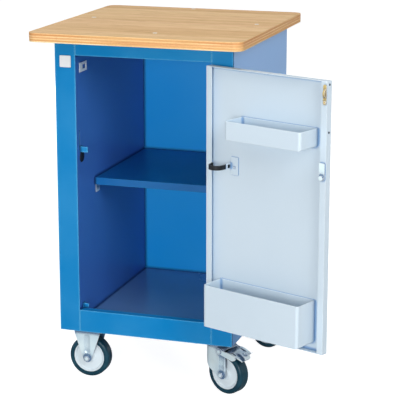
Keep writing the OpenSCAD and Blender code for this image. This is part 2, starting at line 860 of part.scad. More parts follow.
// The fork from above, t inside its outer face: a round nose, sides that spread, and parallel legs
module fork_plan(t) {
    leg = fork_r - t;
    nose = nose_r - t;
    bend_x = (leg * cos(side_spread) - nose) / sin(side_spread);
    end_x = trail + eye_r + (t > 0 ? over : 0);
    side = nose * [-sin(side_spread), cos(side_spread)];
    circle(nose);
    polygon([side, [bend_x, leg], [end_x, leg], [end_x, -leg], [bend_x, -leg], [side[0], -side[1]]]);
}

// The round shape that presses a bead into each leg: a long channel with round ends
module leg_beads(x, z1, r) {
    for (s = [-1, 1]) translate([x, s * (fork_r - bead_depth + bead_r), bead_z0]) {
        cylinder(r = r, h = z1 - bead_z0);
        for (z = [0, z1 - bead_z0]) translate([0, 0, z]) sphere(r);
    }
}

module axle() {
    nut_h = 0.8 * axle_d;
    spacer_l = fork_in - hub_w / 2 - 2 * clearance;
    translate([trail, 0, axle_z]) rotate([90, 0, 0]) {
        cylinder(r = axle_r, h = 2 * (fork_r + nut_h), center = true);
        translate([0, 0, fork_r]) hexagon(axle_d, 0.66 * axle_d);
        translate([0, 0, -fork_r - nut_h]) hexagon(axle_d, nut_h);
        for (s = [-1, 1]) translate([0, 0, s * (fork_in + hub_w / 2) / 2])
            cylinder(r = axle_r + 3, h = spacer_l, center = true);
    }
}

// A point beside the wheel: an angle about its axle, and a gap from its tread
function off_wheel(angle, gap) =
    [trail + (wheel_r + gap) * cos(angle), axle_z + (wheel_r + gap) * sin(angle)];

// The brake pedal: a bent tread above the wheel, side wings round the fork, and a release tongue
module brake_pedal() {
    half = wing_y + wing_t;
    wing_x1 = brake_x + wing_l;
    tread_x0 = trail + eye_r + 4;
    wheel_top = axle_z + wheel_r;
    tread = [[tread_x0, brake_z + 2], off_wheel(67, 12), off_wheel(48, 17), [pedal_x1 - 8, wheel_top - 10]];
    tongue = [off_wheel(65, 11.6), off_wheel(54, 20), off_wheel(43, 25), [pedal_x1 - 2, wheel_top - 5]];
    intersection() {
        union() {
            bent_strip(tread, tread_t, 2 * half + 2 * over);
            bent_strip(tongue, tread_t - 0.5, tongue_w);
        }
        translate([0, 0, axle_z]) linear_extrude(-axle_z) difference() {
            polygon([[0, -half], [wing_x1, -half], [pedal_x1 - 10, -15], [pedal_x1, -9], [pedal_x1, 9],
                [pedal_x1 - 10, 15], [wing_x1, half], [0, half]]);
            for (s = [-1, 1]) translate([tread_x0 + 14, s * (tongue_w / 2 + wing_y) / 2]) tread_slot();
        }
    }
    for (s = [-1, 1]) translate([0, s * (wing_y + wing_t / 2) + wing_t / 2, 0]) upright()
        linear_extrude(wing_t) difference() {
            union() {
                translate([brake_x, brake_z]) circle(brake_r + 5);
                polygon([[brake_x, brake_z + 6], tread[0], tread[1], tread[2], [wing_x1, brake_z - 12],
                    [wing_x1 - 8, brake_z - 15], [brake_x, brake_z - 6]]);
            }
            translate([brake_x, brake_z]) circle(brake_r + running_fit);
        }
    block([tread_x0 - 7, -tongue_w / 2, wheel_top + 2], [tread_x0 + 5, tongue_w / 2, brake_z + 1.2]);
}

module tread_slot() {
    square([slot_l - slot_w, slot_w], center = true);
    for (x = [-1, 1]) translate([x * (slot_l - slot_w) / 2, 0]) circle(slot_w / 2);
}

// A strip of thickness t with mitred bends that follows points in the side view, w wide across the caster
module bent_strip(points, t, w) {
    last = len(points) - 1;
    run = [for (i = [0:last - 1]) points[i + 1] - points[i]];
    bearing = [for (r = run) atan2(r[1], r[0])];
    side = [for (i = [0:last])
        let (a = bearing[max(i - 1, 0)], b = bearing[min(i, last - 1)], m = (a + b) / 2)
        [-sin(m), cos(m)] * t / 2 / cos((a - b) / 2)];
    translate([0, w / 2, 0]) upright() linear_extrude(w) polygon(concat(
        [for (i = [0:last]) points[i] + side[i]], [for (i = [last:-1:0]) points[i] - side[i]]));
}

module brake_pin() {
    translate([brake_x, wing_y + wing_t + 1.5, brake_z]) upright() {
        cylinder(r = brake_r, h = 2 * (wing_y + wing_t) + 3);
        for (z = [0, 2 * (wing_y + wing_t) + 1.5]) translate([0, 0, z]) cylinder(r = brake_r + 2, h = 1.2);
    }
}

// Half of the rim's section, turned about the axle: hub, dished web and outer band
module rim() {
    hub_r = 13;
    side = tyre_w / 2;
    half = [[axle_r + running_fit, hub_w / 2], [hub_r, hub_w / 2], [hub_r + 2, side - 3],
        [rim_r - 6, side - 5], [rim_r - 3, side - 1], [rim_r, side - 1]];
    rotate([90, 0, 0]) rotate_extrude()
        polygon(concat(half, [for (i = [len(half) - 1:-1:0]) [half[i][0], -half[i][1]]]));
}

module tyre() {
    shoulder = (wheel_r - rim_r) / 2;
    rotate([90, 0, 0]) rotate_extrude() {
        translate([rim_r, -tyre_w / 2]) square([wheel_r - rim_r - shoulder, tyre_w]);
        translate([rim_r, -tyre_w / 2 + shoulder]) square([wheel_r - rim_r, tyre_w - 2 * shoulder]);
        for (y = [-1, 1]) translate([wheel_r - shoulder, y * (tyre_w / 2 - shoulder)])
            circle(shoulder, $fn = 32);
    }
}

module on_axle(x) {
    translate([x, 0, axle_z]) children();
}

module front_swivel_fork() {
    color(zinc) at_front_swivel() swivel_fork();
}

module front_swivel_axle() {
    color(zinc) at_front_swivel() axle();
}

module front_brake_pedal() {
    color(zinc) at_front_swivel() brake_pedal();
}

module front_brake_pin() {
    color(zinc) at_front_swivel() brake_pin();
}

module front_swivel_rim() {
    color(rim_grey) at_front_swivel() on_axle(trail) rim();
}

module front_swivel_tyre() {
    color(tyre_grey) at_front_swivel() on_axle(trail) tyre();
}

module rear_swivel_fork() {
    color(zinc) at_rear_swivel() swivel_fork();
}

module rear_swivel_axle() {
    color(zinc) at_rear_swivel() axle();
}

module rear_brake_pedal() {
    color(zinc) at_rear_swivel() brake_pedal();
}

module rear_brake_pin() {
    color(zinc) at_rear_swivel() brake_pin();
}

module rear_swivel_rim() {
    color(rim_grey) at_rear_swivel() on_axle(trail) rim();
}

module rear_swivel_tyre() {
    color(tyre_grey) at_rear_swivel() on_axle(trail) tyre();
}

// A fixed fork is a plate with two straight beaded legs that taper to the axle
module fixed_fork() {
    bead_z1 = -caster_t - 5 - bead_w;
    top_plate();
    difference() {
        union() {
            for (s = [-1, 1]) translate([0, s * (fork_r - caster_t / 2) + caster_t / 2, 0]) upright()
                linear_extrude(caster_t) fixed_leg();
            intersection() {
                leg_beads(0, bead_z1, bead_r + caster_t);
                block([-bead_w, -fork_in - 0.5, axle_z], [bead_w, fork_in + 0.5, -caster_t]);
            }
        }
        leg_beads(0, bead_z1, bead_r);
    }
}

// Its top stays clear of the bolt heads
module fixed_leg() {
    top = bolt_sx / 2 - head_r - 1;
    difference() {
        union() {
            polygon([[-top, -caster_t], [-top, -16], [-10, axle_z - 5], [10, axle_z - 5],
                [top, -16], [top, -caster_t]]);
            translate([0, axle_z]) circle(eye_r);
        }
        translate([0, axle_z]) circle(axle_r + running_fit);
    }
}

module fixed_forks() {
    color(zinc) {
        at_front_fixed() fixed_fork();
        at_rear_fixed() fixed_fork();
    }
}

module fixed_axles() {
    color(zinc) {
        at_front_fixed() translate([-trail, 0, 0]) axle();
        at_rear_fixed() translate([-trail, 0, 0]) axle();
    }
}

module front_fixed_rim() {
    color(rim_grey) at_front_fixed() on_axle(0) rim();
}

module front_fixed_tyre() {
    color(tyre_grey) at_front_fixed() on_axle(0) tyre();
}

module rear_fixed_rim() {
    color(rim_grey) at_rear_fixed() on_axle(0) rim();
}

module rear_fixed_tyre() {
    color(tyre_grey) at_rear_fixed() on_axle(0) tyre();
}

side_panel_left();
side_panel_right();
inner_wall_left();
inner_wall_right();
back_panel();
front_post_left();
front_post_right();
rear_posts();
top_rail();
bottom_rail();
roof_panel();
floor_panel();
base_channels();
worktop();
worktop_screws();
shelf();
shelf_clips();
keeper_tab();
stop_tab();
rubber_plug();
catch_plate();
hinge_leaves_body();
hinge_pins();
caster_plates();
king_pins();
swivel_balls();
caster_bolts();
fixed_forks();
fixed_axles();
door_panel();
hinge_leaves_door();
lower_tray();
upper_tray();
clip_bracket();
tool_clip();
door_catch();
lock_barrel();
lock_knob();
lock_cam();
front_swivel_fork();
front_swivel_axle();
front_brake_pedal();
front_brake_pin();
front_swivel_rim();
front_swivel_tyre();
rear_swivel_fork();
rear_swivel_axle();
rear_brake_pedal();
rear_brake_pin();
rear_swivel_rim();
rear_swivel_tyre();
front_fixed_rim();
front_fixed_tyre();
rear_fixed_rim();
rear_fixed_tyre();
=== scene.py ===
import json
import math
import bpy
from mathutils import Matrix, Vector

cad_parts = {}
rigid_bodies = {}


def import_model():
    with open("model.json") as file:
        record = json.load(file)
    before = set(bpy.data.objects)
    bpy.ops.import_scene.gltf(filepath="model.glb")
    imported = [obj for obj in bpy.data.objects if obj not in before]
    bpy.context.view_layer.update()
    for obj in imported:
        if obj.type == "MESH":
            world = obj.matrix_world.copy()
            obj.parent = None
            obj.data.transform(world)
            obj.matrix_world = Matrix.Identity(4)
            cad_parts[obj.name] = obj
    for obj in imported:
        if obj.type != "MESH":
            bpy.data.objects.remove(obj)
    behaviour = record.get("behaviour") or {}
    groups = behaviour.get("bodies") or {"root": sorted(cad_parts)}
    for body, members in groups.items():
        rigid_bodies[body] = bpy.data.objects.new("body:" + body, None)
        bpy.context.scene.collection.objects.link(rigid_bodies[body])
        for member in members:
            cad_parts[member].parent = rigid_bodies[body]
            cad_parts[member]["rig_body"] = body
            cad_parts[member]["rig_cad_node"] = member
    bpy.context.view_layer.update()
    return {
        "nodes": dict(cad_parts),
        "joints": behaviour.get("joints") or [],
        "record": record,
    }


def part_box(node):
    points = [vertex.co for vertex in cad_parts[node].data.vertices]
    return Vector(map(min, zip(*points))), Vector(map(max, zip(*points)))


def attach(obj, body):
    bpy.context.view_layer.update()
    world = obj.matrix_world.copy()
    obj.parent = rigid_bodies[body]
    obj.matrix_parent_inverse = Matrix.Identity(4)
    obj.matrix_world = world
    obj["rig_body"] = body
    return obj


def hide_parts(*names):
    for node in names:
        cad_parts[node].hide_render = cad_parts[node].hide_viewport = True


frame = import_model()
node = frame["nodes"]
joint = {j["name"]: j for j in frame["joints"]}


# Materials are written as expressions: a Wire is one socket, and an operator on it adds
# a Math node
class Wire:
    def __init__(self, recipe, socket):
        self.recipe = recipe
        self.socket = socket

    def __add__(self, other):
        return self.recipe.maths("ADD", self, other)

    def __radd__(self, other):
        return self.recipe.maths("ADD", other, self)

    def __sub__(self, other):
        return self.recipe.maths("SUBTRACT", self, other)

    def __rsub__(self, other):
        return self.recipe.maths("SUBTRACT", other, self)

    def __mul__(self, other):
        return self.recipe.maths("MULTIPLY", self, other)

    def __rmul__(self, other):
        return self.recipe.maths("MULTIPLY", other, self)

    def __truediv__(self, other):
        return self.recipe.maths("DIVIDE", self, other)


# Samples of the nodes that look round a point, and how fast an edge's mask fills
sampling = {"bevel": 4, "hollow": 16, "edgeGain": 5}


class Recipe:
    def __init__(self, name):
        self.material = bpy.data.materials.new(name)
        self.material.use_nodes = True
        self.tree = self.material.node_tree
        self.shader = self.tree.nodes["Principled BSDF"]

    # Any node: its settings first, then the values or links of its sockets
    def add(self, kind, settings=None, sockets=None, output=0):
        made = self.tree.nodes.new(kind)
        for name, value in (settings or {}).items():
            if name == "stops":
                self.setStops(made.color_ramp, value)
            else:
                setattr(made, name, value)
        for name, value in (sockets or {}).items():
            self.feed(made.inputs[name], value)
        return Wire(self, made.outputs[output])

    def setStops(self, ramp, stops):
        while len(ramp.elements) < len(stops):
            ramp.elements.new(1)
        for element, (place, value) in zip(ramp.elements, stops):
            element.position = place
            element.color = value
        ramp.interpolation = "CONSTANT"

    def feed(self, socket, value):
        if isinstance(value, Wire):
            self.tree.links.new(value.socket, socket)
        else:
            socket.default_value = value

    def maths(self, operation, a, b):
        return self.add("ShaderNodeMath", {"operation": operation}, {0: a, 1: b})

    def clamped(self, value):
        return self.add("ShaderNodeClamp", None, {"Value": value})

    def place(self, stretch=(1, 1, 1)):
        coords = self.add("ShaderNodeTexCoord", output="Object")
        return self.add("ShaderNodeMapping", None, {"Vector": coords, "Scale": stretch})

    def noise(self, scale, detail=3, stretch=(1, 1, 1), distortion=0):
        sockets = {"Vector": self.place(stretch), "Scale": scale, "Detail": detail,
                   "Distortion": distortion}
        return self.add("ShaderNodeTexNoise", None, sockets)

    # A value from noise: 0 below low, 1 above high
    def patches(self, scale, low, high, detail=4, stretch=(1, 1, 1)):
        sockets = {"Value": self.noise(scale, detail, stretch), "From Min": low, "From Max": high}
        return self.add("ShaderNodeMapRange", {"clamp": True}, sockets)

    # Colours mixed by an amount from 0 to 1, on the colour sockets of the Mix node
    def blend(self, amount, first, second):
        settings = {"data_type": "RGBA", "blend_type": "MIX"}
        return self.add("ShaderNodeMix", settings, {0: amount, 6: first, 7: second}, 2)

    def axis(self, vector, name):
        return self.add("ShaderNodeSeparateXYZ", None, {"Vector": vector}, name)

    # How far the surface turns within reach of a point: 0 on flats, near 1 on sharp edges; it
    # sets the painted highlights
    def edges(self, reach):
        bent = self.add("ShaderNodeBevel", {"samples": sampling["bevel"]}, {"Radius": reach})
        flat = self.add("ShaderNodeNewGeometry", output="Normal")
        settings = {"operation": "DOT_PRODUCT"}
        along = self.add("ShaderNodeVectorMath", settings, {0: bent, 1: flat}, "Value")
        return self.clamped((1 - along) * sampling["edgeGain"])

    # How shut in a point is within reach: 0 in the open, 1 in a seam or a pressed bead; it sets
    # the painted shade
    def hollows(self, reach, gain, slack):
        settings = {"samples": sampling["hollow"]}
        opened = self.add("ShaderNodeAmbientOcclusion", settings, {"Distance": reach}, "AO")
        return self.clamped((1 - opened) * gain - slack)

    def bump(self, height, distance, strength=1.0, rounded=0.0):
        sockets = {"Height": height, "Distance": distance, "Strength": strength}
        if rounded:
            settings = {"samples": sampling["bevel"]}
            sockets["Normal"] = self.add("ShaderNodeBevel", settings, {"Radius": rounded})
        self.feed(self.shader.inputs["Normal"], self.add("ShaderNodeBump", None, sockets))

    def set(self, values):
        for name, value in values.items():
            self.feed(self.shader.inputs[name], value)


def tint(red, green, blue):
    # A colour as a paint chart gives it, 0 to 255, in the linear values that shaders take
    def straight(v):
        v = v / 255
        return v / 12.92 if v <= 0.04045 else ((v + 0.055) / 1.055) ** 2.4
    return (straight(red), straight(green), straight(blue), 1)


# Powder coat: an orange-peel skin, cloudy gloss, a painted highlight along the edges, and painted
# shade in seams. A pattern is its scale and the noise levels between which it fills
powder = {
    "peelScale": 420,
    "peelDepth": 0.000006,
    "peelRound": 0.0012,
    "cloud": 0.10,
    "cloudPattern": (6, 0.35, 0.7),
    "cloudDull": 0.06,
    # Noise that breaks up the painted edge highlight
    "highlightPattern": (60, 0.25, 0.6),
    "highlightLeast": 0.6,
    "speckleScale": 180,
    "speckleDull": 0.04,
    "edgeReach": 0.0026,
    # Painted shade in seams: its reach, gain, slack and depth
    "seamShadeReach": 0.009,
    "seamShadeGain": 3.6,
    "seamShadeSlack": 0.25,
    "seamShadeDepth": 0.8,
}


def powderCoat(name, colour, paleTintAndHighlight, seamShadeColour, roughness=0.3, gloss=0.5, edgeAmount=0.7,
               edgeReach=powder["edgeReach"]):
    paint = Recipe(name)
    cloud = paint.patches(*powder["cloudPattern"])
    base = paint.blend(cloud * powder["cloud"], colour, paleTintAndHighlight)
    # Painted highlight along the edges, broken up by noise
    edgeHighlightBreakup = paint.patches(*powder["highlightPattern"]) * (1 - powder["highlightLeast"]) + powder["highlightLeast"]
    base = paint.blend(paint.edges(edgeReach) * edgeHighlightBreakup * edgeAmount, base, paleTintAndHighlight)
    # Painted shade in seams and corners, darker where a point is more shut in
    seamShade = paint.hollows(powder["seamShadeReach"], powder["seamShadeGain"], powder["seamShadeSlack"])
    base = paint.blend(seamShade * powder["seamShadeDepth"], base, seamShadeColour)
    speckle = paint.noise(powder["speckleScale"], 2)
    skin = cloud * powder["cloudDull"] + speckle * powder["speckleDull"] + roughness
    paint.set({"Base Color": base, "Roughness": skin, "Specular IOR Level": gloss})
    peel = paint.noise(powder["peelScale"], 2)
    paint.bump(peel, powder["peelDepth"], 1.0, powder["peelRound"])
    return paint.material


# Plated steel: faint cool and warm patches, painted shade in hollows and pressed beads, a painted
# highlight on edges, fine rolling lines and small scuffs
plating = {
    "coolPattern": (30, 0.36, 0.7),
    "warmPattern": (22, 0.46, 0.74),
    "patchDepth": 0.3,
    # Painted shade in hollows: its reach, gain, slack and depth
    "hollowReach": 0.018,
    "hollowGain": 9,
    "hollowSlack": 0.08,
    "hollowDepth": 0.85,
    # Painted highlight on edges: its reach, depth and colour
    "edgeReach": 0.0018,
    "edgeHighlightDepth": 0.85,
    "paleTintAndHighlight": tint(250, 253, 255),
    "lineScale": 260,
    "lineStretch": (1, 1, 0.12),
    "scuffPattern": (150, 0.56, 0.68),
    "dull": {"cool": 0.06, "lines": 0.06, "scuffs": 0.10},
    "bumpMix": {"lines": 0.6, "scuffs": 0.4},
    "bumpDepth": 0.00002,
    "bumpStrength": 0.6,
    "bumpRound": 0.0006,
}

zincPlate = {
    "colour": tint(232, 250, 255),
    "coolPatch": tint(156, 198, 224),
    "warmPatch": tint(220, 226, 218),
    # Colour of the painted shade in hollows
    "hollow": tint(36, 90, 138),
    "metallic": 0.26,
    "roughness": 0.26,
}


def zincCoat(name, values):
    zinc = Recipe(name)
    dull, mix = plating["dull"], plating["bumpMix"]
    cool = zinc.patches(*plating["coolPattern"])
    warm = zinc.patches(*plating["warmPattern"])
    base = zinc.blend(cool * plating["patchDepth"], values["colour"], values["coolPatch"])
    base = zinc.blend(warm * plating["patchDepth"], base, values["warmPatch"])
    # Painted shade in hollows and pressed beads
    hollow = zinc.hollows(plating["hollowReach"], plating["hollowGain"], plating["hollowSlack"])
    base = zinc.blend(hollow * plating["hollowDepth"], base, values["hollow"])
    # Painted highlight along the edges
    edge = zinc.edges(plating["edgeReach"])
    base = zinc.blend(edge * plating["edgeHighlightDepth"], base, plating["paleTintAndHighlight"])
    lines = zinc.noise(plating["lineScale"], 2, plating["lineStretch"])
    scuffs = zinc.patches(*plating["scuffPattern"])
    rough = cool * dull["cool"] + lines * dull["lines"] + scuffs * dull["scuffs"]
    zinc.set({"Base Color": base, "Metallic": values["metallic"],
              "Roughness": rough + values["roughness"]})
    zinc.bump(lines * mix["lines"] + scuffs * mix["scuffs"], plating["bumpDepth"],
              plating["bumpStrength"], plating["bumpRound"])
    return zinc.material


# Beech plywood: long streaks on the face veneer, and layers of turned grain on the edges
plywood = {
    "face": tint(230, 188, 137),
    "faceLight": tint(240, 207, 154),
    "faceDark": tint(201, 156, 100),
    "pore": tint(150, 104, 62),
    "layers": [
        (0.00, tint(255, 236, 188)),
        (0.13, tint(228, 166, 104)),
        (0.30, tint(252, 212, 154)),
        (0.44, tint(232, 172, 116)),
        (0.58, tint(254, 216, 160)),
        (0.72, tint(220, 160, 100)),
        (0.88, tint(250, 214, 156)),
    ],
    "glue": tint(158, 108, 62),
    "mid": tint(238, 190, 128),
    "glueLines": [0.13, 0.30, 0.44, 0.58, 0.72, 0.88],
    "glueWidth": 0.016,
    "redStreak": tint(214, 134, 80),
    "faceTurn": 0.7,
    "wander": (14, 2, (0.4, 0.4, 2)),
    "wanderReach": 0.0016,
    "roughness": 0.52,
    "gloss": 0.22,
    "bumpDepth": 0.00010,
}

# The grain's patterns: scale, the two noise levels, detail and stretch
grain = {
    "streaks": (24, 0.36, 0.66, 5, (0.05, 1.5, 1.5)),
    "bands": (5, 0.36, 0.62, 3, (0.18, 1.6, 1)),
    "pores": (380, 0.56, 0.66, 2, (0.05, 1, 1)),
    "fade": (11, 0.36, 0.62, 3, (0.8, 0.8, 3)),
    "longGrain": (60, 0.44, 0.62, 4, (0.06, 0.06, 2.4)),
    "endGrain": (700, 0.5, 0.62, 1),
    "glueBreaks": (30, 0.3, 0.6, 3, (0.3, 0.3, 3)),
}
# How strongly each shows in the colour, the roughness and the bump
grainColour = {"streaks": 0.75, "bands": 0.55, "pores": 0.4, "fade": 0.65, "longGrain": 0.45,
               "endGrain": 0.22, "glueBreaks": 0.5}
grainDull = {"streaks": 0.10, "pores": 0.15}
grainBump = {"streaks": 0.3, "pores": 0.7, "longGrain": 0.3, "all": 0.6}


def plywoodBoard():
    wood = Recipe("beechPlywood")
    low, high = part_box("worktop")
    coords = wood.add("ShaderNodeTexCoord", output="Object")
    streaks = wood.patches(*grain["streaks"])
    bands = wood.patches(*grain["bands"])
    pores = wood.patches(*grain["pores"])
    face = wood.blend(streaks * grainColour["streaks"], plywood["face"], plywood["faceDark"])
    face = wood.blend(bands * grainColour["bands"], face, plywood["faceLight"])
    face = wood.blend(pores * grainColour["pores"], face, plywood["pore"])
    # The edge: layers by height, which wander a little, with broken glue lines between them
    wander = wood.noise(*plywood["wander"]) * plywood["wanderReach"]
    height = wood.axis(coords, "Z") + wander - low.z - plywood["wanderReach"] / 2
    level = height / (high.z - low.z)
    layer = wood.add("ShaderNodeValToRGB", {"stops": plywood["layers"]}, {"Fac": level})
    fade = wood.patches(*grain["fade"])
    layer = wood.blend(fade * grainColour["fade"], layer, plywood["mid"])
    longGrain = wood.patches(*grain["longGrain"])
    layer = wood.blend(longGrain * grainColour["longGrain"], layer, plywood["redStreak"])
    endGrain = wood.patches(*grain["endGrain"])
    layer = wood.blend(endGrain * grainColour["endGrain"], layer, plywood["glue"])
    patchy = wood.patches(*grain["glueBreaks"]) * grainColour["glueBreaks"]
    for line in plywood["glueLines"]:
        apart = wood.maths("ABSOLUTE", level - line, 0)
        near = wood.maths("LESS_THAN", apart, plywood["glueWidth"])
        layer = wood.blend(near * patchy, layer, plywood["glue"])
    upward = wood.axis(wood.add("ShaderNodeNewGeometry", output="Normal"), "Z")
    steep = wood.maths("ABSOLUTE", upward, 0)
    onFace = wood.maths("GREATER_THAN", steep, plywood["faceTurn"])
    rough = streaks * grainDull["streaks"] + pores * grainDull["pores"]
    wood.set({"Base Color": wood.blend(onFace, layer, face),
              "Roughness": rough + plywood["roughness"],
              "Specular IOR Level": plywood["gloss"]})
    relief = streaks * grainBump["streaks"] - pores * grainBump["pores"]
    relief = relief - longGrain * grainBump["longGrain"]
    wood.bump(relief, plywood["bumpDepth"], grainBump["all"])
    return wood.material


# Rubber and moulded plastic: dust, flow marks and a fine mould texture
rubberSkin = {"dustPattern": (34, 0.45, 0.75), "dust": 0.45, "dustDull": 0.15, "gloss": 0.22,
              "textureScale": 600, "textureDepth": 0.00008, "strength": 0.8, "round": 0.0006}
mouldSkin = {"flowScale": 18, "flowBend": 0.8, "flow": 0.5, "flowDull": 0.14,
             "textureScale": 900, "textureDepth": 0.00003, "strength": 0.7, "round": 0.0008}


def rubber(name, colour, dusty, roughness):
    skin = rubberSkin
    tyre = Recipe(name)
    dust = tyre.patches(*skin["dustPattern"])
    base = tyre.blend(dust * skin["dust"], colour, dusty)
    tyre.set({"Base Color": base, "Roughness": dust * skin["dustDull"] + roughness,
              "Specular IOR Level": skin["gloss"]})
    texture = tyre.noise(skin["textureScale"], 3)
    tyre.bump(texture, skin["textureDepth"], skin["strength"], skin["round"])
    return tyre.material


def moulded(name, colour, shade, roughness):
    skin = mouldSkin
    plastic = Recipe(name)
    flow = plastic.noise(skin["flowScale"], 4, (1, 1, 1), skin["flowBend"])
    base = plastic.blend(flow * skin["flow"], colour, shade)
    plastic.set({"Base Color": base, "Roughness": flow * skin["flowDull"] + roughness})
    texture = plastic.noise(skin["textureScale"], 2)
    plastic.bump(texture, skin["textureDepth"], skin["strength"], skin["round"])
    return plastic.material


# Paints: colour, pale colour for cloud and the painted edge highlight, painted seam shade colour,
# then roughness, gloss, edge highlight strength
frontBlue = powderCoat("frontBlue", tint(0, 125, 190), tint(120, 206, 244), tint(0, 66, 112),
                       0.34, 0.12, 0.75, 0.0036)
# backBlueLightened is a lighter copy of the one blue paint: painted light against the shade
# inside the bays
backBlueLightened = powderCoat("backBlueLightened", tint(2, 152, 230), tint(70, 176, 228), tint(0, 80, 140),
                      0.34, 0.3)
# shelfBlueShaded is a darker copy of the one blue paint: painted shade on the shelf
shelfBlueShaded = powderCoat("shelfBlueShaded", tint(4, 96, 162), tint(50, 150, 204), tint(0, 52, 100),
                       0.3, 0.3, 0.6)
# sideBlueSheen is a paler copy of the one blue paint: a painted sheen of the bright surround on
# the side
sideBlueSheen = powderCoat("sideBlueSheen", tint(92, 164, 234), tint(176, 212, 242), tint(20, 76, 132),
                      0.3, 0.5)
# innerBlueShaded is a darker, more purple copy of the one blue paint: painted shade on the inner
# walls and roof
innerBlueShaded = powderCoat("innerBlueShaded", tint(56, 106, 188), tint(96, 164, 222), tint(14, 44, 110),
                       0.3, 0.35)
# floorBlueLightened is a paler, greyer copy of the one blue paint: painted light on the floor of
# the shaded bay
floorBlueLightened = powderCoat("floorBlueLightened", tint(98, 138, 184), tint(130, 170, 214), tint(24, 52, 100),
                       0.2, 0.5)
doorGrey = powderCoat("doorGrey", tint(206, 222, 234), tint(232, 242, 249), tint(104, 152, 200),
                      0.38, 0.3, 0.8)
zinc = zincCoat("brightZinc", zincPlate)
ballSteel = zincCoat("ballSteel", {**zincPlate, "metallic": 1.0, "roughness": 0.12})
# paleZincLightened is a paler, less metallic copy of the zinc: the catch's pale finish, lightened
# further as painted light against the shade on the inner wall; the worktop screws share it
paleZincLightened = zincCoat("paleZincLightened", {
    "colour": tint(248, 253, 250), "coolPatch": tint(206, 230, 218),
    # The last colour on the next line is the painted shade in hollows
    "warmPatch": tint(250, 250, 238), "hollow": tint(150, 170, 170),
    "metallic": 0.15, "roughness": 0.32})
yellowZinc = zincCoat("yellowZinc", {
    "colour": tint(212, 190, 126), "coolPatch": tint(168, 150, 96),
    # The last colour on the next line is the painted shade in hollows
    "warmPatch": tint(236, 216, 160), "hollow": tint(112, 94, 56),
    "metallic": 0.7, "roughness": 0.26})
board = plywoodBoard()
blackRubber = rubber("blackRubber", tint(22, 26, 30), tint(54, 58, 62), 0.46)
tyreRubber = rubber("tyreRubber", tint(16, 58, 74), tint(48, 96, 114), 0.32)
blackPlastic = moulded("blackPlastic", tint(24, 26, 30), tint(44, 47, 52), 0.38)
rimPlastic = moulded("rimPlastic", tint(228, 240, 246), tint(212, 225, 233), 0.34)
badgeMetal = moulded("badgeMetal", tint(232, 235, 238), tint(206, 212, 218), 0.25)
print("materials ready")

finish = {
    "frame_blue": frontBlue,
    "side_blue": sideBlueSheen,
    "inner_blue": innerBlueShaded,
    "door_grey": doorGrey,
    "plywood": board,
    "zinc_steel": zinc,
    "ball_steel": ballSteel,
    "yellow_zinc": yellowZinc,
    "black_rubber": blackRubber,
    "black_plastic": blackPlastic,
    "rim_plastic": rimPlastic,
    "tyre_rubber": tyreRubber,
}
slotOf = {part["node"]: part["material_slot"] for part in frame["record"]["subparts"]}


def paintWith(piece, material):
    piece.data.materials.clear()
    piece.data.materials.append(material)


ownFinish = {"back_panel": backBlueLightened, "roof_panel": innerBlueShaded, "shelf": shelfBlueShaded,
             "floor_panel": floorBlueLightened, "catch_plate": paleZincLightened, "worktop_screws": paleZincLightened}
for name, piece in node.items():
    paintWith(piece, ownFinish.get(name, finish[slotOf[name]]))


# Modelling by hand starts from a clean selection
def select(*pieces):
    if bpy.context.object and bpy.context.object.mode != "OBJECT":
        bpy.ops.object.mode_set(mode="OBJECT")
    bpy.ops.object.select_all(action="DESELECT")
    for piece in pieces:
        piece.select_set(True)
    bpy.context.view_layer.objects.active = pieces[-1]


def applyAll(piece):
    select(piece)
    for modifier in list(piece.modifiers):
        bpy.ops.object.modifier_apply(modifier=modifier.name)
    bpy.ops.object.transform_apply(location=True, rotation=True, scale=True)


def named(piece, name, body, material):
    piece.name = name
    piece.data.name = name
    paintWith(piece, material)
    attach(piece, body)


# Faces or edges are picked in code, by their place or direction, and worked on in edit mode
def pick(piece, kind, wanted):
    select(piece)
    bpy.ops.object.mode_set(mode="EDIT")
    bpy.ops.mesh.select_mode(type=kind)
    bpy.ops.mesh.select_all(action="DESELECT")
    bpy.ops.object.mode_set(mode="OBJECT")
    if kind == "FACE":
        for face in piece.data.polygons:
            face.select = wanted(face)
    else:
        for edge in piece.data.edges:
            a, b = (piece.data.vertices[v].co for v in edge.vertices)
            edge.select = wanted(a, b)
    bpy.ops.object.mode_set(mode="EDIT")


# Copies of one piece at each place, joined, each with its own mesh; the first piece goes
def copyTo(master, places):
    copies = []
    for place in places:
        one = master.copy()
        one.data = master.data.copy()
        bpy.context.scene.collection.objects.link(one)
        one.matrix_world = place
        copies.append(one)
    bpy.data.objects.remove(master)
    select(*copies)
    bpy.ops.object.join()
    joined = bpy.context.object
    bpy.ops.object.transform_apply(location=True, rotation=True, scale=True)
    return joined


# Somewhere to put a head: at a point, facing along a direction
def facing(point, direction):
    turn = Vector((0, 0, 1)).rotation_difference(Vector(direction))
    return Matrix.Translation(Vector(point)) @ turn.to_matrix().to_4x4()


cornersPerMetre = 50000  # corners that round to one place on this grid are one


# The boxes round the separate solids of a CAD node, seen through a matrix
def solidsOf(name, through=Matrix()):
    mesh = node[name].data
    spots = [tuple(round(c * cornersPerMetre) for c in vertex.co) for vertex in mesh.vertices]
    home = {spot: spot for spot in spots}

    def root(spot):
        while home[spot] != spot:
            home[spot] = home[home[spot]]
            spot = home[spot]
        return spot

    for face in mesh.polygons:
        first = root(spots[face.vertices[0]])
        for corner in face.vertices[1:]:
            home[root(spots[corner])] = first
    groups = {}
    for spot, vertex in zip(spots, mesh.vertices):
        groups.setdefault(root(spot), []).append(through @ vertex.co)
    boxes = [(Vector([min(v) for v in zip(*group)]), Vector([max(v) for v in zip(*group)]))
             for group in groups.values()]
    return sorted(boxes, key=lambda box: tuple(box[0]))


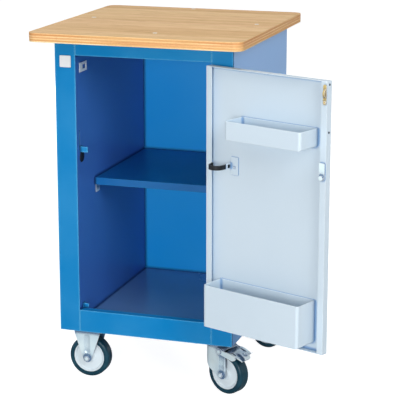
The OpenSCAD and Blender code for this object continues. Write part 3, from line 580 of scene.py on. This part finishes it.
# A place on the closed door, in the frame's metres, swung to where the door stands open
doorTurn = Matrix.Rotation(math.radians(-joint["door_hinge"]["range_deg"][0]), 4, "Z")
hingePin = Vector(joint["door_hinge"]["pos_m"])
swing = Matrix.Translation(hingePin) @ doorTurn @ Matrix.Translation(-hingePin)
shut = swing.inverted()


# How a copied node is cleaned and shaded before its edges are broken; angles in degrees
edgeWork = {"merge": 0.00001, "flat": 0.4, "smooth": 30, "broken": 40, "segments": 2}


# A merged copy of a CAD node, with its edges broken as bent sheet and routed wood have them
def soften(name, width):
    piece = node[name].copy()
    piece.data = node[name].data.copy()
    bpy.context.scene.collection.objects.link(piece)
    body = piece["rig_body"]
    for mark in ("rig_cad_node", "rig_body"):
        if mark in piece:
            del piece[mark]
    piece.parent = None
    piece.matrix_world = Matrix()
    select(piece)
    bpy.ops.object.mode_set(mode="EDIT")
    bpy.ops.mesh.select_all(action="SELECT")
    bpy.ops.mesh.remove_doubles(threshold=edgeWork["merge"])
    bpy.ops.mesh.dissolve_limited(angle_limit=math.radians(edgeWork["flat"]))
    bpy.ops.object.mode_set(mode="OBJECT")
    bpy.ops.object.shade_smooth_by_angle(angle=math.radians(edgeWork["smooth"]))
    edge = piece.modifiers.new("edge", "BEVEL")
    edge.width = width
    edge.segments = edgeWork["segments"]
    edge.limit_method = "ANGLE"
    edge.angle_limit = math.radians(edgeWork["broken"])
    edge.harden_normals = True
    even = piece.modifiers.new("even", "WEIGHTED_NORMAL")
    even.keep_sharp = True
    applyAll(piece)
    material = ownFinish.get(name, finish[slotOf[name]])
    named(piece, name + "_finished", body, material)
    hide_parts(name)
    return piece


# Edge radius in metres of each node that shows a broken edge
brokenEdges = {
    "worktop": 0.0018,
    "front_post_left": 0.0005,
    "front_post_right": 0.0005,
    "top_rail": 0.0005,
    "bottom_rail": 0.0005,
    "rear_posts": 0.0005,
    "base_channels": 0.0008,
    "door_panel": 0.0005,
    "lower_tray": 0.0005,
    "upper_tray": 0.0005,
    "shelf": 0.0005,
    "caster_plates": 0.0006,
    "fixed_forks": 0.0006,
    "front_swivel_fork": 0.0006,
    "rear_swivel_fork": 0.0006,
    "front_brake_pedal": 0.0005,
    "rear_brake_pedal": 0.0005,
    "front_swivel_rim": 0.0006,
    "rear_swivel_rim": 0.0006,
    "front_fixed_rim": 0.0006,
    "rear_fixed_rim": 0.0006,
    "lock_knob": 0.0005,
}
for name, width in brokenEdges.items():
    soften(name, width)
print("edges broken on", len(brokenEdges), "nodes")


# Blank badge plate near the top of the left post
badge = {
    "size": 0.027,
    "thick": 0.0012,
    "corner": 0.002,
    "rim": 0.0016,
    "sunk": 0.3,  # of its thickness, inside the rim
    "softEdge": 0.0002,
    "fromEdge": 0.024,
    "fromTop": 0.0515,
}


def makeBadge():
    low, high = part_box("front_post_left")
    centre = (high.x - badge["fromEdge"], low.y - badge["thick"] / 2, high.z - badge["fromTop"])
    bpy.ops.mesh.primitive_cube_add(size=1, location=centre)
    plate = bpy.context.object
    plate.scale = (badge["size"], badge["thick"], badge["size"])
    bpy.ops.object.transform_apply(location=True, rotation=True, scale=True)
    pick(plate, "EDGE", lambda a, b: abs(a.y - b.y) > badge["thick"] / 2)
    bpy.ops.mesh.bevel(offset=badge["corner"], segments=4)
    pick(plate, "FACE", lambda face: face.normal.y < -0.9)
    bpy.ops.mesh.inset(thickness=badge["rim"], depth=-badge["thick"] * badge["sunk"])
    bpy.ops.object.mode_set(mode="OBJECT")
    soft = plate.modifiers.new("soft", "BEVEL")
    soft.width = badge["softEdge"]
    soft.segments = 2
    applyAll(plate)
    named(plate, "badge_plate", "cabinet", badgeMetal)


makeBadge()
print("badge made")

# Heads of small screws and rivets, in metres
heads = {
    "hinge": {"radius": 0.0036, "height": 0.0012, "cross": 0.0042},
    "clip": {"radius": 0.0030, "height": 0.0016, "cross": 0.0034},
    "pedal": {"radius": 0.0034, "height": 0.0018, "cross": 0},
    "buffer": {"radius": 0.0022, "height": 0.0014, "cross": 0},
}
headShape = {"sides": 28, "roundOver": 0.62, "crossDepth": 0.6, "armWidth": 0.24}


# The star that a screwdriver fits: a post with four arms
def makeCross(size, depth):
    arm = size * headShape["armWidth"]
    bpy.ops.mesh.primitive_cube_add(size=1)
    cross = bpy.context.object
    cross.scale = (arm, arm, depth * 2)
    bpy.ops.object.transform_apply(location=True, rotation=True, scale=True)
    pick(cross, "FACE", lambda face: abs(face.normal.z) < 0.1)
    bpy.ops.mesh.extrude_faces_move(TRANSFORM_OT_shrink_fatten={"value": (size - arm) / 2})
    bpy.ops.object.mode_set(mode="OBJECT")
    return cross


def cutAway(piece, tool):
    bite = piece.modifiers.new("bite", "BOOLEAN")
    bite.operation = "DIFFERENCE"
    bite.solver = "EXACT"
    bite.object = tool
    applyAll(piece)
    bpy.data.objects.remove(tool)


def makeHead(values):
    radius, height = values["radius"], values["height"]
    bpy.ops.mesh.primitive_cylinder_add(vertices=headShape["sides"], radius=radius, depth=height,
                                        location=(0, 0, height / 2))
    head = bpy.context.object
    bpy.ops.object.transform_apply(location=True, rotation=True, scale=True)
    pick(head, "EDGE", lambda a, b: min(a.z, b.z) > height * 0.9)
    bpy.ops.mesh.bevel(offset=height * headShape["roundOver"], segments=4)
    bpy.ops.object.mode_set(mode="OBJECT")
    if values["cross"]:
        cross = makeCross(values["cross"], height * headShape["crossDepth"])
        cross.location.z = height
        cutAway(head, cross)
    return head


# Two screws through each hinge leaf, on the post and on the door
hingeScrews = {"fromFreeEdge": 0.008, "apart": 0.036, "leafThick": 0.0025}


def makeHingeScrews():
    half = hingeScrews["apart"] / 2
    onPost, onDoor = [], []
    for low, high in solidsOf("hinge_leaves_body"):
        for rise in (-half, half):
            onPost.append((high.x - hingeScrews["fromFreeEdge"], (low.z + high.z) / 2 + rise))
    for low, high in solidsOf("hinge_leaves_door", shut):
        for rise in (-half, half):
            onDoor.append((low.x + hingeScrews["fromFreeEdge"], (low.z + high.z) / 2 + rise))
    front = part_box("front_post_right")[0].y - hingeScrews["leafThick"]
    places = [facing((x, front, z), (0, -1, 0)) for x, z in onPost]
    screws = copyTo(makeHead(heads["hinge"]), places)
    named(screws, "hinge_screws_post", "cabinet", zinc)
    places = [swing @ facing((x, front, z), (0, -1, 0)) for x, z in onDoor]
    screws = copyTo(makeHead(heads["hinge"]), places)
    named(screws, "hinge_screws_door", "door", zinc)


makeHingeScrews()

# The screw that holds the clip's foot, on the inside of the door
clipScrew = {"fromWeb": 0.010, "below": 0.003, "footBehindFront": 0.003}


def makeClipScrew():
    low, high = solidsOf("clip_bracket", shut)[0]
    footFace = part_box("front_post_right")[0].y + clipScrew["footBehindFront"]
    spot = (high.x - clipScrew["fromWeb"], footFace, (low.z + high.z) / 2 - clipScrew["below"])
    screw = copyTo(makeHead(heads["clip"]), [swing @ facing(spot, (0, 1, 0))])
    named(screw, "clip_screw", "door", zinc)


makeClipScrew()

# Two small rubber buffers in the free edge of the door
buffers = {"fromTop": (0.008, 0.110)}


def makeBuffers():
    low, high = solidsOf("door_panel", shut)[0]
    places = [swing @ facing((low.x, (low.y + high.y) / 2, high.z - drop), (-1, 0, 0))
              for drop in buffers["fromTop"]]
    pair = copyTo(makeHead(heads["buffer"]), places)
    named(pair, "door_buffers", "door", blackRubber)


makeBuffers()

# The brakes' release wire and its rivet, in each caster's own frame: x along the pedal,
# z up from its plate
release = {
    "rivet": (0.084, 0, -0.0231),
    "slope": (0.37, 0, 0.93),
    "wire": [(0.080, 0, -0.0208), (0.090, 0, -0.0222), (0.099, 0, -0.0195), (0.111, 0, -0.0102)],
    "thick": 0.0012,
}


def makeRelease(caster):
    axis = joint[caster + "_wheel_spin"]["axis"]
    heading = Matrix.Rotation(math.atan2(-axis[0], axis[1]), 4, "Z")
    own = Matrix.Translation(Vector(joint[caster + "_swivel"]["pos_m"])) @ heading
    bpy.ops.curve.primitive_bezier_curve_add()
    wire = bpy.context.object
    path = wire.data.splines[0].bezier_points
    path.add(len(release["wire"]) - 2)
    for point, spot in zip(path, release["wire"]):
        point.co = spot
        point.handle_left_type = "AUTO"
        point.handle_right_type = "AUTO"
    wire.data.bevel_depth = release["thick"] / 2
    wire.data.bevel_resolution = 3
    wire.data.use_fill_caps = True
    bpy.ops.object.convert(target="MESH")
    wire = copyTo(bpy.context.object, [own])
    rivet = copyTo(makeHead(heads["pedal"]), [own @ facing(release["rivet"], release["slope"])])
    named(wire, caster + "_release_wire", caster + "_brake", zinc)
    named(rivet, caster + "_pedal_rivet", caster + "_brake", zinc)


makeRelease("front")
makeRelease("rear")


worktopScrews = {"cross": 0.0062, "deep": 0.0016, "softEdge": 0.0002}


# Worktop screws with their cross recess cut in
def makeWorktopScrews():
    places = []
    for low, high in solidsOf("worktop_screws"):
        middle = (low + high) / 2
        places.append(Matrix.Translation((middle.x, middle.y, high.z)))
    screws = soften("worktop_screws", worktopScrews["softEdge"])
    cross = makeCross(worktopScrews["cross"], worktopScrews["deep"])
    cutAway(screws, copyTo(cross, places))


makeWorktopScrews()
print("screws and buffers made")

# Plain pale floor, which keeps the object's shadow and runs out to white
floorPlane = {"size": 40, "grey": 0.6, "roughness": 0.9, "gloss": 0.1,
              "lift": 0.875, "dullTo": 0.9, "brightFrom": 1.9}


def makeFloor():
    bpy.ops.mesh.primitive_plane_add(size=floorPlane["size"], location=(0, 0, 0))
    floor = bpy.context.object
    floor.name = "floor"
    pale = Recipe("paleFloor")
    grey = floorPlane["grey"]
    pale.set({"Base Color": (grey, grey, grey, 1), "Roughness": floorPlane["roughness"],
              "Specular IOR Level": floorPlane["gloss"]})
    rays = pale.tree.nodes.new("ShaderNodeLightPath")
    away = pale.add("ShaderNodeVectorMath", {"operation": "LENGTH"}, {0: pale.place()}, "Value")
    far = pale.add("ShaderNodeMapRange", {"clamp": True}, {
        "Value": away, "From Min": floorPlane["dullTo"], "From Max": floorPlane["brightFrom"]})
    seen = pale.maths("MAXIMUM", Wire(pale, rays.outputs["Is Camera Ray"]),
                      Wire(pale, rays.outputs["Is Glossy Ray"]) * far)
    seen = pale.maths("MAXIMUM", seen, Wire(pale, rays.outputs["Is Transmission Ray"]))
    glow = pale.add("ShaderNodeEmission", None, {"Strength": seen * floorPlane["lift"]})
    both = pale.add("ShaderNodeAddShader", None, {0: Wire(pale, pale.shader.outputs[0]), 1: glow})
    pale.feed(pale.tree.nodes["Material Output"].inputs["Surface"], both)
    paintWith(floor, pale.material)


makeFloor()

# Studio: a soft white surround, a large lamp beside the camera, fills at the right and behind
studio = {
    "surround": 0.22,
    "key": {"place": (0.6, -5.6, 1.1), "aim": (0.0, 0.0, 0.45), "size": 1.8, "watts": 157},
    "fill": {"place": (2.6, -2.4, 2.4), "aim": (0.1, 0.0, 0.5), "size": 1.8, "watts": 61},
    "top": {"place": (-0.2, -0.6, 3.2), "aim": (0.0, 0.0, 0.8), "size": 2.0, "watts": 27},
    "back": {"place": (-2.6, 3.4, 0.7), "aim": (0.0, 0.2, 0.4), "size": 1.2, "watts": 60},
}


def pointAt(thing, place, aim):
    thing.location = place
    thing.rotation_mode = "QUATERNION"
    thing.rotation_quaternion = (Vector(aim) - Vector(place)).to_track_quat("-Z", "Y")


def makeLamp(name, values):
    lamp = bpy.data.lights.new(name, "AREA")
    lamp.shape = "DISK"
    lamp.size = values["size"]
    lamp.energy = values["watts"]
    holder = bpy.data.objects.new(name, lamp)
    bpy.context.scene.collection.objects.link(holder)
    pointAt(holder, values["place"], values["aim"])


def makeStudio():
    world = bpy.data.worlds.new("studio")
    bpy.context.scene.world = world
    world.use_nodes = True
    tree = world.node_tree
    rays = tree.nodes.new("ShaderNodeLightPath")
    sky = tree.nodes["Background"]
    sky.inputs["Color"].default_value = (1, 1, 1, 1)
    shown = None
    for kind in ("Is Camera Ray", "Is Glossy Ray", "Is Transmission Ray"):
        if shown is None:
            shown = rays.outputs[kind]
            continue
        either = tree.nodes.new("ShaderNodeMath")
        either.operation = "MAXIMUM"
        tree.links.new(shown, either.inputs[0])
        tree.links.new(rays.outputs[kind], either.inputs[1])
        shown = either.outputs[0]
    level = tree.nodes.new("ShaderNodeMapRange")
    level.inputs["To Min"].default_value = studio["surround"]
    level.inputs["To Max"].default_value = 1
    tree.links.new(shown, level.inputs["Value"])
    tree.links.new(level.outputs["Result"], sky.inputs["Strength"])
    for name in ("key", "fill", "top", "back"):
        makeLamp(name, studio[name])


makeStudio()

# Camera at the photograph's place: a long lens from the front right, looking a little down
view = {"place": (1.1034, -3.459, 1.347), "aim": (0.0277, -0.137, 0.4713), "lens": 142.8,
        "sensor": 36, "farthest": 100}


def makeCamera():
    lens = bpy.data.cameras.new("camera")
    lens.lens = view["lens"]
    lens.sensor_width = view["sensor"]
    lens.clip_end = view["farthest"]
    camera = bpy.data.objects.new("camera", lens)
    bpy.context.scene.collection.objects.link(camera)
    pointAt(camera, view["place"], view["aim"])
    bpy.context.scene.camera = camera
    bpy.context.scene.view_settings.view_transform = "Standard"


makeCamera()
print("studio ready")
